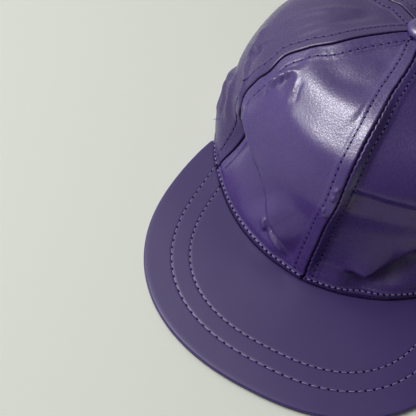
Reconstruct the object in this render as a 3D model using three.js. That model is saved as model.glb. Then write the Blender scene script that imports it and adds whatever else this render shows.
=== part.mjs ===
// A faux leather cap: six crown panels, a peak of two covers and a covered button.
// Millimetres, +Z up, the peak towards -Y. The cap stands on its rim and on the peak's flat underside.
// +X is the wearer's left.

import * as THREE from 'three';

// Driving dimensions

const rim = { halfWidth: 87.65, halfLength: 99.95 };
const apexBehindMiddle = 6.4;
const wall = 1.8;
const seamGap = 0.4;
const neighbourGap = 0.3;
const temple = { around: 70, spread: 17, out: 3.2, gone: 0.5 };

const peak = {
  halfWidth: 90.5,
  shoulderAhead: 79.4,
  reach: 92.1,
  squareness: 2.3,
  sideTaper: 0.0022,
  tipAround: 68.5,
  coverTop: 1.45,
  coverUnder: 1.25,
  roundInset: 0.7,
  roundHeight: 0.6,
  clearOfBulge: 0.5,
};

const button = { radius: 8.0, rise: 4.6, edge: 1.1, shankRadius: 2.6, underCrown: 1.2 };

// The frame's origin lies on the floor under the middle of the whole cap, peak included.
const middleAhead = 35.3;

// The crown's profile from the rim to the apex. share: distance from the axis as a share of the rim's.
// front, side, back: how far the middle of such a panel stands out past its seams, in mm.
const profile = [
  { share: 1.0, height: 0, front: 0, side: 0, back: 0 },
  { share: 1.0, height: 3.6, front: 0, side: 0.6, back: 0.3 },
  { share: 1.01, height: 6.5, front: 0, side: 1.2, back: 0.7 },
  { share: 0.998, height: 10.5, front: 0, side: 2, back: 1.2 },
  { share: 0.968, height: 24, front: 0, side: 3.5, back: 3 },
  { share: 0.948, height: 40, front: 1, side: 4.5, back: 4 },
  { share: 0.945, height: 52, front: 2, side: 4.5, back: 4 },
  { share: 0.908, height: 64, front: 2.5, side: 3.5, back: 4 },
  { share: 0.848, height: 74, front: 2, side: 2.5, back: 3 },
  { share: 0.765, height: 82, front: 0.5, side: 1.5, back: 2 },
  { share: 0.66, height: 88, front: -1, side: 0.5, back: 0.5 },
  { share: 0.53, height: 92.2, front: -2, side: 0, back: -1 },
  { share: 0.37, height: 95, front: -2, side: -1, back: -1.5 },
  { share: 0.19, height: 96.6, front: -1, side: -1, back: -1 },
  { share: 0.0, height: 97.2, front: 0, side: 0, back: 0 },
];

// The six seams, in degrees around the crown from the front: at the rim, and from the shoulder up.
const shoulderUp = 0.45;
const seams = [
  { atRim: -180, atTop: -180 },
  { atRim: -119, atTop: -119 },
  { atRim: -55, atTop: -56.5 },
  { atRim: -1.3, atTop: 1.2 },
  { atRim: 55, atTop: 56.5 },
  { atRim: 119, atTop: 119 },
  { atRim: 180, atTop: 180 },
];

const panels = [
  { name: 'panel_back_right', seam: 0, fullness: 'back', columns: 10, rows: 20 },
  { name: 'panel_side_right', seam: 1, fullness: 'side', columns: 12, rows: 24 },
  { name: 'panel_front_right', seam: 2, fullness: 'front', columns: 18, rows: 26 },
  { name: 'panel_front_left', seam: 3, fullness: 'front', columns: 18, rows: 26 },
  { name: 'panel_side_left', seam: 4, fullness: 'side', columns: 12, rows: 24 },
  { name: 'panel_back_left', seam: 5, fullness: 'back', columns: 10, rows: 20 },
];

// Folds and dents. path: points of its line, each [degrees around from the front, mm up the wall].
// raise and raiseWide: how far the wall stands out, and over what width, left of the line as it runs.
// tuck and tuckWide: how far it goes in right of the line. step: width of the change between the two.
// A fold with no step is a ridge, or with a negative raise a dent, along its line.
// easeIn, easeOut: share of the line over which it fades in and out.
const folds = [
  {
    name: 'side bulge above the rim', path: [[-66, 6], [-72, 24], [-77, 46]],
    raise: 4.5, raiseWide: 14, easeIn: 0.5, easeOut: 0.1,
  },
  {
    name: 'seam drawn in above the rim', path: [[-58, 6], [-55, 26], [-54, 46]],
    raise: -7, raiseWide: 9, easeIn: 0.3, easeOut: 0.25,
  },
  {
    name: 'slack fold across the front right panel',
    path: [[-56, 55], [-45, 50], [-36, 43], [-27, 36], [-19, 23], [-10, 12], [-5, 8]],
    raise: 2, raiseWide: 9, tuck: 5.5, tuckWide: 13, step: 2.5, easeIn: 0.12, easeOut: 0.35,
  },
  {
    name: 'crease under the crown top', path: [[-48, 93], [-34, 100], [-19, 103], [-6, 104]],
    raise: -1, raiseWide: 4.5, easeIn: 0.3, easeOut: 0.3,
  },
  {
    name: 'soft valley across the front left panel', path: [[1, 69], [13, 71], [25, 69], [42, 64]],
    raise: 0.9, raiseWide: 9, tuck: 1.6, tuckWide: 12, step: 2.5, easeIn: 0.3, easeOut: 0.3,
  },
  {
    name: 'deep fold of the front left panel',
    path: [[6, 9], [16, 21], [22, 31], [29, 46], [40, 58]],
    raise: 1.6, raiseWide: 9, tuck: 6.5, tuckWide: 14, step: 2.5, easeIn: 0.3, easeOut: 0.3,
  },
  {
    name: 'left side drawn in above the rim', path: [[62, 10], [72, 26], [84, 40], [98, 48]],
    raise: 1.2, raiseWide: 10, tuck: 3.5, tuckWide: 13, step: 3, easeIn: 0.35, easeOut: 0.35,
  },
  {
    name: 'slack of the left back panel', path: [[128, 60], [140, 46], [156, 38]],
    raise: -2.6, raiseWide: 12, easeIn: 0.35, easeOut: 0.35,
  },
  {
    name: 'slack of the right back panel', path: [[-166, 66], [-150, 52], [-132, 44]],
    raise: -2.2, raiseWide: 13, easeIn: 0.35, easeOut: 0.35,
  },
];

// The crown's surface

const { clamp, degToRad, lerp, smoothstep } = THREE.MathUtils;
const steps = profile.length - 1;
const meanRadius = (rim.halfWidth + rim.halfLength) / 2;
const up01 = (x) => smoothstep(x, 0, 1);

// A smooth curve through one column of the profile, at the share v of the way from rim to apex.
function along(column, v) {
  const place = clamp(v, 0, 1) * steps;
  const i = Math.min(Math.floor(place), steps - 1);
  const f = place - i;
  const [p0, p1, p2, p3] = [i - 1, i, i + 1, i + 2].map((row) => profile[clamp(row, 0, steps)][column]);
  const linear = -p0 + p2;
  const square = 2 * p0 - 5 * p1 + 4 * p2 - p3;
  const cube = -p0 + 3 * p1 - 3 * p2 + p3;
  return 0.5 * (2 * p1 + linear * f + square * f * f + cube * f * f * f);
}

// How many mm up the wall each v lies, as a table to look up both ways.
const wallSamples = 400;
const wallLength = [0];
for (let i = 1; i <= wallSamples; i += 1) {
  const [low, high] = [(i - 1) / wallSamples, i / wallSamples];
  const out = (along('share', high) - along('share', low)) * meanRadius;
  const rise = along('height', high) - along('height', low);
  wallLength.push(wallLength[i - 1] + Math.hypot(out, rise));
}

function mmUp(v) {
  const place = clamp(v, 0, 1) * wallSamples;
  const i = Math.min(Math.floor(place), wallSamples - 1);
  return lerp(wallLength[i], wallLength[i + 1], place - i);
}

function shareUp(mm) {
  let i = 0;
  while (i < wallSamples - 1 && wallLength[i + 1] < mm) i += 1;
  return (i + (mm - wallLength[i]) / (wallLength[i + 1] - wallLength[i])) / wallSamples;
}

const seamAt = (seam, v) => degToRad(lerp(seams[seam].atRim, seams[seam].atTop, up01(v / shoulderUp)));

// The plain crown, before fullness and folds, at the angle around (radians from the front) and share v.
function plainCrown(around, v) {
  const share = along('share', v);
  const offTemple = (Math.abs(around) - degToRad(temple.around)) / degToRad(temple.spread);
  const wide = temple.out * Math.exp(-offTemple * offTemple) * clamp(1 - v / temple.gone, 0, 1);
  return new THREE.Vector3(
    (rim.halfWidth * share + wide) * Math.sin(around),
    -(rim.halfLength * share + wide) * Math.cos(around) + apexBehindMiddle * (1 - share),
    along('height', v),
  );
}

function plainNormal(around, v) {
  const small = 2e-3;
  const across = plainCrown(around + small, v).sub(plainCrown(around - small, v));
  const upward = plainCrown(around, Math.min(v + small, 1)).sub(plainCrown(around, Math.max(v - small, 0)));
  return across.cross(upward).normalize();
}

// A fold's line, laid out flat in mm around its own middle.
function layOut(fold) {
  const centre = degToRad(fold.path.reduce((sum, [around]) => sum + around, 0) / fold.path.length);
  const points = fold.path.map(([around, mm]) => {
    const radius = meanRadius * along('share', shareUp(mm));
    return new THREE.Vector2((degToRad(around) - centre) * radius, mm);
  });
  return { ...fold, centre, points };
}

const laidFolds = folds.map(layOut);

// How far one fold moves the wall out at a place, in mm.
function foldOut(fold, around, v) {
  const here = new THREE.Vector2((around - fold.centre) * meanRadius * along('share', v), mmUp(v));
  let nearest = { distance: Infinity, side: 1, passed: 0 };
  let total = 0;
  for (let i = 1; i < fold.points.length; i += 1) {
    const direction = fold.points[i].clone().sub(fold.points[i - 1]);
    const length = direction.length();
    direction.divideScalar(length);
    const offset = here.clone().sub(fold.points[i - 1]);
    const forward = clamp(offset.dot(direction), 0, length);
    const distance = offset.clone().sub(direction.clone().multiplyScalar(forward)).length();
    const side = direction.cross(offset) < 0 ? -1 : 1;
    if (distance < nearest.distance) nearest = { distance, side, passed: total + forward };
    total += length;
  }
  const share = nearest.passed / total;
  const fade = up01(share / fold.easeIn) * up01((1 - share) / fold.easeOut);
  const swell = (amount, width) => amount * Math.exp(-((nearest.distance / width) ** 2));
  if (!fold.step) return fade * swell(fold.raise, fold.raiseWide);
  const left = 0.5 + 0.5 * Math.tanh((nearest.side * nearest.distance) / fold.step);
  return fade * (left * swell(fold.raise, fold.raiseWide) - (1 - left) * swell(fold.tuck, fold.tuckWide));
}

// A point of a panel: a share q of the way across it, v of the way up, and depth mm in from the outside.
function panelPoint(panel, q, v, depth) {
  const radius = meanRadius * along('share', v);
  const inset = seamGap / 2 / Math.max(radius, 1);
  const around = lerp(seamAt(panel.seam, v) + inset, seamAt(panel.seam + 1, v) - inset, q);
  const full = along(panel.fullness, v) * Math.sin(Math.PI * q) ** 0.8;
  const folded = laidFolds.reduce((sum, fold) => sum + foldOut(fold, around, v), 0);
  const point = plainCrown(around, v).addScaledVector(plainNormal(around, v), full + folded - depth);
  return v === 0 ? point.setZ(0) : point;
}

// Closed shells

// Joins two grids of points, an outside and an inside one of the same size, into one closed wall.
// rows run up and columns across, as seen from outside with the columns going to the right.
function closedWall(outside, inside, columns, rows) {
  const stride = columns + 1;
  const grid = stride * (rows + 1);
  const index = [];
  const quad = (a, b, c, d) => index.push(a, b, c, a, c, d);
  for (let row = 0; row < rows; row += 1) {
    for (let column = 0; column < columns; column += 1) {
      const a = row * stride + column;
      quad(a, a + 1, a + stride + 1, a + stride);
      quad(grid + a, grid + a + stride, grid + a + stride + 1, grid + a + 1);
    }
  }
  for (let column = 0; column < columns; column += 1) {
    const top = rows * stride + column;
    quad(column + 1, column, grid + column, grid + column + 1);
    quad(top, top + 1, grid + top + 1, grid + top);
  }
  for (let row = 0; row < rows; row += 1) {
    const left = row * stride;
    const right = left + columns;
    quad(left, left + stride, grid + left + stride, grid + left);
    quad(right + stride, right, grid + right, grid + right + stride);
  }
  const geometry = new THREE.BufferGeometry().setFromPoints([...outside, ...inside]);
  geometry.setIndex(index);
  geometry.computeVertexNormals();
  return geometry;
}

// Materials

const leather = new THREE.MeshStandardMaterial({ color: '#4b3f6d', roughness: 0.42, metalness: 0 });
const leatherDark = new THREE.MeshStandardMaterial({ color: '#3a3058', roughness: 0.5, metalness: 0 });

const cap = new THREE.Group();
cap.name = 'faux_leather_cap';

function place(name, geometry, material) {
  const mesh = new THREE.Mesh(geometry, material);
  mesh.name = name;
  mesh.position.y = middleAhead;
  cap.add(mesh);
}

// Crown panels

const topShare = 0.98;

for (const panel of panels) {
  const outside = [];
  const inside = [];
  for (let row = 0; row <= panel.rows; row += 1) {
    for (let column = 0; column <= panel.columns; column += 1) {
      const [q, v] = [column / panel.columns, (row / panel.rows) * topShare];
      outside.push(panelPoint(panel, q, v, 0));
      inside.push(panelPoint(panel, q, v, wall));
    }
  }
  place(panel.name, closedWall(outside, inside, panel.columns, panel.rows), leather);
}

// Peak

// The peak's outer edge from its right tip round the front to its left tip, as points evenly spaced.
function peakEdge(count) {
  const bow = (x) => Math.sign(x) * Math.abs(x) ** (2 / peak.squareness);
  const tip = rimPoint(degToRad(peak.tipAround));
  const sideRun = peak.shoulderAhead + tip.y;
  const outline = [];
  const fine = 200;
  for (let i = 0; i <= fine; i += 1) {
    const back = sideRun * (1 - i / fine);
    outline.push(new THREE.Vector2(-peak.halfWidth + peak.sideTaper * back * back, back - peak.shoulderAhead));
  }
  for (let i = 1; i <= fine; i += 1) {
    const turn = (i / fine - 1) * (Math.PI / 2);
    outline.push(new THREE.Vector2(
      peak.halfWidth * bow(Math.sin(turn)),
      -peak.shoulderAhead - peak.reach * bow(Math.cos(turn)),
    ));
  }
  const mirrored = outline.slice(0, -1).reverse().map((point) => new THREE.Vector2(-point.x, point.y));
  return evenly([...outline, ...mirrored], count);
}

// The line that the peak is sewn to: the crown's outside just above the peak, clear of its fullness.
function rimPoint(around) {
  const outward = new THREE.Vector3(Math.sin(around), -Math.cos(around), 0);
  return plainCrown(around, 1 / steps).addScaledVector(outward, neighbourGap + peak.clearOfBulge);
}

function evenly(points, count) {
  const reach = [0];
  points.slice(1).forEach((point, i) => reach.push(reach[i] + point.distanceTo(points[i])));
  const result = [];
  let i = 0;
  for (let n = 0; n <= count; n += 1) {
    const wanted = (reach.at(-1) * n) / count;
    while (i < points.length - 2 && reach[i + 1] < wanted) i += 1;
    result.push(points[i].clone().lerp(points[i + 1], (wanted - reach[i]) / (reach[i + 1] - reach[i])));
  }
  return result;
}

// One cover of the peak. outwards lists the rows from the crown to the edge, as a share of the way
// across or a distance in from the edge, with the height of its upper and of its lower face there.
function peakCover(rows, columns) {
  const edge = peakEdge(columns);
  const [upper, lower] = [[], []];
  for (const row of rows) {
    for (let column = 0; column <= columns; column += 1) {
      const around = degToRad(peak.tipAround) * ((2 * column) / columns - 1);
      const inner = rimPoint(around);
      const outer = new THREE.Vector3(edge[column].x, edge[column].y, 0);
      const across = outer.clone().sub(inner).setZ(0);
      const inset = Math.min((row.inset ?? 0) / across.length(), mostInset);
      const share = row.inset === undefined ? row.share : 1 - inset;
      const at = inner.clone().addScaledVector(across, share);
      upper.push(at.clone().setZ(row.top));
      lower.push(at.clone().setZ(row.bottom));
    }
  }
  return closedWall(lower, upper, columns, rows.length - 1);
}

const peakColumns = 48;
const flatShares = [0, 0.25, 0.5, 0.75];
const mostInset = 0.15;
const underTop = peak.coverUnder;
const topBottom = underTop + neighbourGap;
const topTop = topBottom + peak.coverTop;

const underRows = [
  ...flatShares.map((share) => ({ share, top: underTop, bottom: 0 })),
  { inset: peak.roundInset, top: underTop, bottom: 0 },
  { inset: 0, top: underTop, bottom: peak.roundHeight },
];
const topRows = [
  ...flatShares.map((share) => ({ share, top: topTop, bottom: topBottom })),
  { inset: peak.roundInset, top: topTop, bottom: topBottom },
  { inset: 0, top: topTop - peak.roundHeight, bottom: topBottom },
];

place('peak_under', peakCover(underRows, peakColumns), leatherDark);
place('peak_top', peakCover(topRows, peakColumns), leather);

// Button

const apexHeight = profile[steps].height;
const buttonFoot = apexHeight + neighbourGap;
const shankEnd = apexHeight - wall - button.underCrown;
const buttonProfile = [
  new THREE.Vector2(0, shankEnd),
  new THREE.Vector2(button.shankRadius, shankEnd),
  new THREE.Vector2(button.shankRadius, buttonFoot),
  new THREE.Vector2(button.radius - button.edge / 2, buttonFoot),
];
const domeSteps = 8;
for (let i = 0; i <= domeSteps; i += 1) {
  const turn = (i / domeSteps) * (Math.PI / 2);
  const lift = button.edge / 2 + (button.rise - button.edge / 2) * Math.sin(turn);
  buttonProfile.push(new THREE.Vector2(button.radius * Math.cos(turn), buttonFoot + lift));
}
buttonProfile.at(-1).x = 0;

const buttonGeometry = new THREE.LatheGeometry(buttonProfile, 24);
buttonGeometry.rotateX(Math.PI / 2);
buttonGeometry.translate(0, apexBehindMiddle, 0);
place('button', buttonGeometry, leather);

export default cap;
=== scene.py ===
"""A faux leather cap on a pale floor: panelled crown, stitched flat peak, covered button."""

import math
import random

import bpy
import numpy as np
from mathutils import Matrix, Vector


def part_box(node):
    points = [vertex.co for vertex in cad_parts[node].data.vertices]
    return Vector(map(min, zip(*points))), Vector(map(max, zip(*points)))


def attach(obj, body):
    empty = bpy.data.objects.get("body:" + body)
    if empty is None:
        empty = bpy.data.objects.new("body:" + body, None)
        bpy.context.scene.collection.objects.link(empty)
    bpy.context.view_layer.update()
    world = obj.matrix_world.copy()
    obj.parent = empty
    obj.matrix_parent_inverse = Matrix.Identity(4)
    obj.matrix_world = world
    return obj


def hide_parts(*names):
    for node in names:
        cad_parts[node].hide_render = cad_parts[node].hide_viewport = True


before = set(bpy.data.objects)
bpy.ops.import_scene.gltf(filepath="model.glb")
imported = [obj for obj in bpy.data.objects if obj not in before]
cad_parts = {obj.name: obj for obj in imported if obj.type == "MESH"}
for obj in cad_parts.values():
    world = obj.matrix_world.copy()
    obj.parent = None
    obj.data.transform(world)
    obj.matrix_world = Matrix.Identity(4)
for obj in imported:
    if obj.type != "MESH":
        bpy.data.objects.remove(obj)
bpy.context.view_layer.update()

# The camera.
# It stands where the photograph's did, in front of the cap and a little to the wearer's left, and looks
# half down at the right-hand end of the peak, with the picture turned slightly.

MM = 0.001
PHOTO_SIDE = 416
FOCAL_PIXELS = 873
SENSOR = 36
CAMERA_AROUND, CAMERA_UP, CAMERA_ROLL = 17.45, 50.59, 12.03
CAMERA_AWAY = 480 * MM
LOOKS_AT = Vector((-65.9, -47.1, 0)) * MM


def add_camera():
    around, up, roll = (math.radians(a) for a in (CAMERA_AROUND, CAMERA_UP, CAMERA_ROLL))
    back = Vector((math.sin(around) * math.cos(up), -math.cos(around) * math.cos(up), math.sin(up)))
    right = Vector((math.cos(around), math.sin(around), 0))
    upward = back.cross(right)
    turned_right = right * math.cos(roll) + upward * math.sin(roll)
    turned_up = upward * math.cos(roll) - right * math.sin(roll)
    bpy.ops.object.camera_add()
    camera = bpy.context.object
    camera.matrix_world = Matrix((turned_right, turned_up, back)).transposed().to_4x4()
    camera.location = LOOKS_AT + back * CAMERA_AWAY
    camera.data.sensor_width = SENSOR
    camera.data.lens = FOCAL_PIXELS * SENSOR / PHOTO_SIDE
    camera.data.clip_start = 0.01
    bpy.context.scene.camera = camera


add_camera()

# The crown's panels.
# Six gores of faux leather are sewn edge to edge, their allowances turned under and topstitched down, so
# each seam is a dark groove between two raised strips. The crown is unlined, soft and slack: it has sunk
# into folds above the peak. Each panel is a grid laid on the crown's surface, then given its thickness.

RIM_HALF_WIDTH, RIM_HALF_LENGTH = 87.65, 99.95
APEX_BEHIND_MIDDLE = 6.4
MEAN_RADIUS = (RIM_HALF_WIDTH + RIM_HALF_LENGTH) / 2
WALL = 1.8

# Shares of the way up: where the seams reach their upper places, and where the panels end under the button.
SHOULDER_UP, TOP_SHARE = 0.45, 0.98

# The crown swells at the temples: degrees around, their spread, mm out, the share of the way up where the
# swelling is gone, its share at the rim, and where it is full.
TEMPLE_AROUND, TEMPLE_SPREAD, TEMPLE_OUT, TEMPLE_GONE = 70, 17, 3.2, 0.5
TEMPLE_AT_RIM, TEMPLE_FULL = 0.45, 0.25

button_low, button_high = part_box("button")
MIDDLE_AHEAD = (button_low.y + button_high.y) / 2 / MM - APEX_BEHIND_MIDDLE

# Distance from the axis as a share of the rim's, height in mm, and how far the middle of a front, side or
# back panel stands out past its seams. The front panels are drawn a little flatter than the CAD's.
SHARE, HEIGHT, FRONT, SIDE, BACK = range(5)
PROFILE = np.array([
    (1.000, 0.0, 0.0, 0.0, 0.0),
    (1.000, 3.6, -0.3, 0.6, 0.3),
    (1.010, 6.5, -0.6, 1.2, 0.7),
    (0.998, 10.5, -0.9, 2.0, 1.2),
    (0.968, 24.0, -2.2, 3.5, 3.0),
    (0.948, 40.0, -3.6, 4.5, 4.0),
    (0.945, 52.0, -4.2, 4.5, 4.0),
    (0.908, 64.0, -3.2, 3.5, 4.0),
    (0.848, 74.0, -2.2, 2.5, 3.0),
    (0.765, 82.0, -2.0, 1.5, 2.0),
    (0.660, 88.0, -2.4, 0.5, 0.5),
    (0.530, 92.2, -2.8, 0.0, -1.0),
    (0.370, 95.0, -2.4, -1.0, -1.5),
    (0.190, 96.6, -1.0, -1.0, -1.0),
    (0.000, 97.2, 0.0, 0.0, 0.0),
])
PROFILE_STEPS = len(PROFILE) - 1

# Degrees around the crown from the front, at the rim and from the shoulder up.
SEAMS = np.array([(-180, -180), (-119, -119), (-55, -56.5), (-1.3, 1.2), (55, 56.5), (119, 119), (180, 180)])

# Three seams wander where slack leather pulls them, by seam: rows of mm up and degrees.
WANDERS = {
    1: np.array([(0, 0), (120, 0), (132, -3), (140, -9), (152, -9)]),
    2: np.array([(0, 0), (50, 0.5), (60, -1.8), (70, -0.8), (79, 0.6), (90, -2.4), (101, -1.6), (116, 1.2),
                 (135, 0)]),
    3: np.array([(0, 0), (7, -0.4), (14, -1.2), (22, -1.55), (41, -1.85), (59, -1.0), (74, -1.3), (89, -1.3),
                 (107, -0.7), (118, -0.6), (127, 0.8), (132, 2.4), (142, 4.8)]),
}

# Each panel's name, its left seam, its fullness column, how far its thread runs from its left and right
# seam, the pitch of its left and right stitches, and how deep they notch its left edge, in mm. The front
# left panel's thread runs closer to the front seam, and its edge there is plainly notched.
PANELS = (
    ("panel_back_right", 0, BACK, 6.1, 6.1, 4.2, 3.0, 0.06),
    ("panel_side_right", 1, SIDE, 6.1, 6.1, 3.0, 4.2, 0.06),
    ("panel_front_right", 2, FRONT, 6.1, 6.1, 4.2, 3.5, 0.06),
    ("panel_front_left", 3, FRONT, 4.1, 6.1, 3.5, 4.2, 0.3),
    ("panel_side_left", 4, SIDE, 6.1, 6.1, 4.2, 3.0, 0.06),
    ("panel_back_left", 5, BACK, 6.1, 6.1, 3.0, 4.2, 0.06),
)

# Folds and dents. A row: the line's points (degrees around, mm up the wall), raise and its width left of
# the line, tuck and its width right of it, the step between them (0 for a plain ridge or dent), and the
# shares of the line over which it eases in and out.
FOLDS = (
    # The right side panel swells low down and is drawn in beside its front seam.
    (((-66, 6), (-72, 24), (-77, 46)), 4.5, 14, 0, 1, 0, 0.5, 0.1),
    (((-57, 0), (-55, 28), (-54, 46)), -7, 9, 0, 1, 0, 0.75, 0.25),
    # The slack fold that runs down the front right panel to the front seam's foot.
    (((-56, 55), (-47.5, 50), (-39, 43), (-30.5, 36.5), (-23.5, 28.5), (-18.5, 23), (-13, 19), (-8, 14),
      (-4, 10)), 3.4, 16, 5.5, 13, 1.0, 0.12, 0.35),
    # On the front left panel: a valley, the deep fold above the peak, the hollow under it, and the steep
    # fall beside the front seam.
    (((1, 67), (10, 67), (23, 65), (42, 60)), 0.7, 12, 2.2, 24, 1.5, 0.08, 0.3),
    (((9, 16), (14, 15.8), (19, 14), (23, 18.5), (28.5, 25), (33, 30.5), (40, 40)),
     2.6, 10, 6.5, 9, 1.1, 0.3, 0.3),
    (((54, 36), (46, 26), (37, 18), (28, 13), (18, 10)), 0, 1, 6, 16, 4.5, 0.6, 0.35),
    (((0, 4), (1, 40), (2.6, 75), (4, 125)), 0, 1, 4.6, 60, 2.2, 0.12, 0.2),
    # The flat facet high on the front right panel, the ridges at its edges, and the swell lower down.
    (((-53, 96.3), (-37, 99.3), (-24, 102), (-4, 105)), 1.4, 9, 0, 1, 0, 0.12, 0.15),
    (((-41, 78), (-25, 78), (-10, 78.5), (5, 79)), 1.4, 6.5, 0, 1, 0, 0.2, 0.15),
    (((-43, 106), (-38, 115), (-31, 124), (-14, 132)), 0.5, 5, 0, 1, 0, 0.5, 0.25),
    (((-40, 103), (-33, 108), (-24, 113), (-10, 118)), -0.5, 4.5, 0, 1, 0, 0.5, 0.2),
    (((-28, 32), (-18, 21), (-8, 14)), 3, 14, 0, 1, 0, 0.35, 0.35),
    # Soft folds on the left side panel and both back panels.
    (((62, 10), (72, 26), (84, 40), (98, 48)), 1.2, 10, 3.5, 13, 3, 0.35, 0.35),
    (((128, 60), (140, 46), (156, 38)), -2.6, 12, 0, 1, 0, 0.35, 0.35),
    (((-166, 66), (-150, 52), (-132, 44)), -2.2, 13, 0, 1, 0, 0.35, 0.35),
)

# Finer creases that only the looks need: the same columns.
CREASES = (
    # Two pinches at the slack fold's foot.
    (((-24.5, 20), (-22.5, 17.5), (-20.5, 15)), 2.2, 1.5, 0, 1, 0, 0.3, 0.3),
    (((-20.5, 18.5), (-17.5, 16.3), (-14.5, 14.8), (-11, 13.2), (-8.5, 12)), 2.5, 1.4, 0, 1, 0, 0.2, 0.35),
    # Where the side seam's slack gathers: a bent ridge, its shadow side and the small wrinkles beside it.
    (((-50.5, 71), (-50.2, 78), (-50.2, 84), (-49.5, 89), (-46.5, 95)), 1.7, 2.0, 0, 1, 0, 0.55, 0.2),
    (((-48.5, 92), (-46, 86), (-44.5, 80)), -0.6, 3.2, 0, 1, 0, 0.3, 0.3),
    (((-47, 94), (-43, 90), (-38, 84)), 0.5, 1.3, 0, 1, 0, 0.3, 0.3),
    (((-42, 94), (-39, 89), (-35, 84)), -0.35, 1.2, 0, 1, 0, 0.3, 0.3),
    (((-43, 87), (-37, 80)), 0.35, 1.2, 0, 1, 0, 0.3, 0.3),
    (((-51, 75), (-47, 72)), 0.5, 1.3, 0, 1, 0, 0.3, 0.3),
    (((-52.5, 77), (-47.5, 75)), 0.8, 1.2, 0, 1, 0, 0.35, 0.35),
    (((-51.8, 81), (-47.4, 79.5)), 0.9, 1.2, 0, 1, 0, 0.35, 0.35),
    (((-51.2, 85), (-47, 83.5)), 0.9, 1.2, 0, 1, 0, 0.35, 0.35),
    (((-50.6, 89), (-46.6, 87.5)), 0.8, 1.2, 0, 1, 0, 0.35, 0.35),
    # The slack fold's crest: a fine ridge, then a sharp crease.
    (((-55, 58), (-47, 53.5), (-40.5, 48), (-34.5, 42.5)), 0.9, 1.5, 0, 1, 0, 0.2, 0.4),
    (((-38, 45.8), (-35.2, 42.7), (-30.8, 38.8), (-26.5, 34.2), (-21.6, 28.9), (-18.5, 24.5)),
     -1.2, 1.1, 0, 1, 0, 0.3, 0.25),
    # Puckers on the strip beside the front seam.
    (((-3.4, 64), (-0.6, 66)), 1.4, 1.1, 0, 1, 0, 0.4, 0.4),
    (((-3.0, 60), (-0.8, 61.6)), 1.3, 1.1, 0, 1, 0, 0.4, 0.4),
    (((-4.4, 52.2), (-2.6, 51.8)), 1.2, 1.1, 0, 1, 0, 0.4, 0.4),
    (((-3.8, 48.6), (-1.4, 50.2)), 1.2, 1.1, 0, 1, 0, 0.4, 0.4),
    # Wrinkles of the right side panel.
    (((-72.5, 56), (-70, 51), (-66.8, 47), (-65.2, 40), (-63.6, 28)), 1.7, 2.5, 0, 1, 0, 0.3, 0.3),
    (((-75, 46), (-71, 36), (-69.5, 20)), 1.4, 2.4, 0, 1, 0, 0.3, 0.3),
    (((-69.4, 40), (-68.4, 33), (-67.6, 25)), 0.8, 1.4, 0, 1, 0, 0.3, 0.3),
    (((-76, 43), (-73.5, 45), (-71, 47)), -1.1, 2.2, 0, 1, 0, 0.3, 0.3),
    (((-73, 64), (-68.5, 62.5), (-62.5, 61), (-59.8, 57), (-58, 50)), 1.1, 1.5, 0, 1, 0, 0.25, 0.3),
    (((-64, 62), (-70, 69), (-73, 77)), -1.4, 2.4, 0, 1, 0, 0.3, 0.3),
    (((-72, 71), (-69, 67.5), (-64, 64.5)), 0.9, 1.4, 0, 1, 0, 0.3, 0.3),
    (((-84, 74), (-78, 70), (-71, 66)), 1.3, 2.6, 0, 1, 0, 0.3, 0.3),
    (((-79.5, 74), (-75.5, 71.5), (-73, 68), (-74, 60)), 0.9, 1.5, 0, 1, 0, 0.3, 0.3),
    (((-73.4, 69.5), (-72.8, 75), (-72.4, 82)), 0.8, 1.3, 0, 1, 0, 0.3, 0.3),
    (((-79, 80), (-80.5, 87), (-83, 96), (-88, 114)), 0.6, 3.0, 0, 1, 0, 0.35, 0.5),
    (((-71, 84), (-74, 93), (-77, 104), (-81, 118)), 0.5, 2.7, 0, 1, 0, 0.35, 0.5),
    (((-66.5, 88), (-69, 98), (-72, 112), (-77, 124)), 0.4, 2.0, 0, 1, 0, 0.35, 0.5),
    (((-80, 98), (-88, 112), (-95, 130)), 0.7, 3.2, 0, 1, 0, 0.3, 0.3),
    (((-72, 110), (-80, 122), (-96, 137)), -0.5, 2.8, 0, 1, 0, 0.3, 0.3),
)


def smooth(x):
    x = np.clip(x, 0, 1)
    return x * x * (3 - 2 * x)


def along_profile(v):
    """A smooth curve through the profile's rows, at the share v of the way from rim to apex."""
    place = np.clip(v, 0, 1) * PROFILE_STEPS
    row = np.minimum(place.astype(int), PROFILE_STEPS - 1)
    f = (place - row)[..., None]
    p0, p1, p2, p3 = (PROFILE[np.clip(row + step, 0, PROFILE_STEPS)] for step in (-1, 0, 1, 2))
    linear, square = p2 - p0, 2 * p0 - 5 * p1 + 4 * p2 - p3
    cube = 3 * p1 - p0 - 3 * p2 + p3
    return 0.5 * (2 * p1 + linear * f + square * f**2 + cube * f**3)


WALL_SHARES = np.linspace(0, 1, 401)
wall_rows = along_profile(WALL_SHARES)
wall_steps = np.hypot(np.diff(wall_rows[:, SHARE]) * MEAN_RADIUS, np.diff(wall_rows[:, HEIGHT]))
WALL_LENGTHS = np.concatenate(([0], np.cumsum(wall_steps)))


def mm_up(v):
    return np.interp(v, WALL_SHARES, WALL_LENGTHS)


def share_up(mm):
    return np.interp(mm, WALL_LENGTHS, WALL_SHARES)


def seam_around(seam, v):
    at_rim, at_top = SEAMS[seam]
    around = at_rim + (at_top - at_rim) * smooth(v / SHOULDER_UP)
    if seam in WANDERS:
        up, degrees = WANDERS[seam].T
        place = np.interp(mm_up(v), up, np.arange(len(up)))
        row = np.minimum(np.floor(place).astype(int), len(up) - 2)
        around = around + degrees[row] + (degrees[row + 1] - degrees[row]) * smooth(place - row)
    return np.radians(around)


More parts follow.
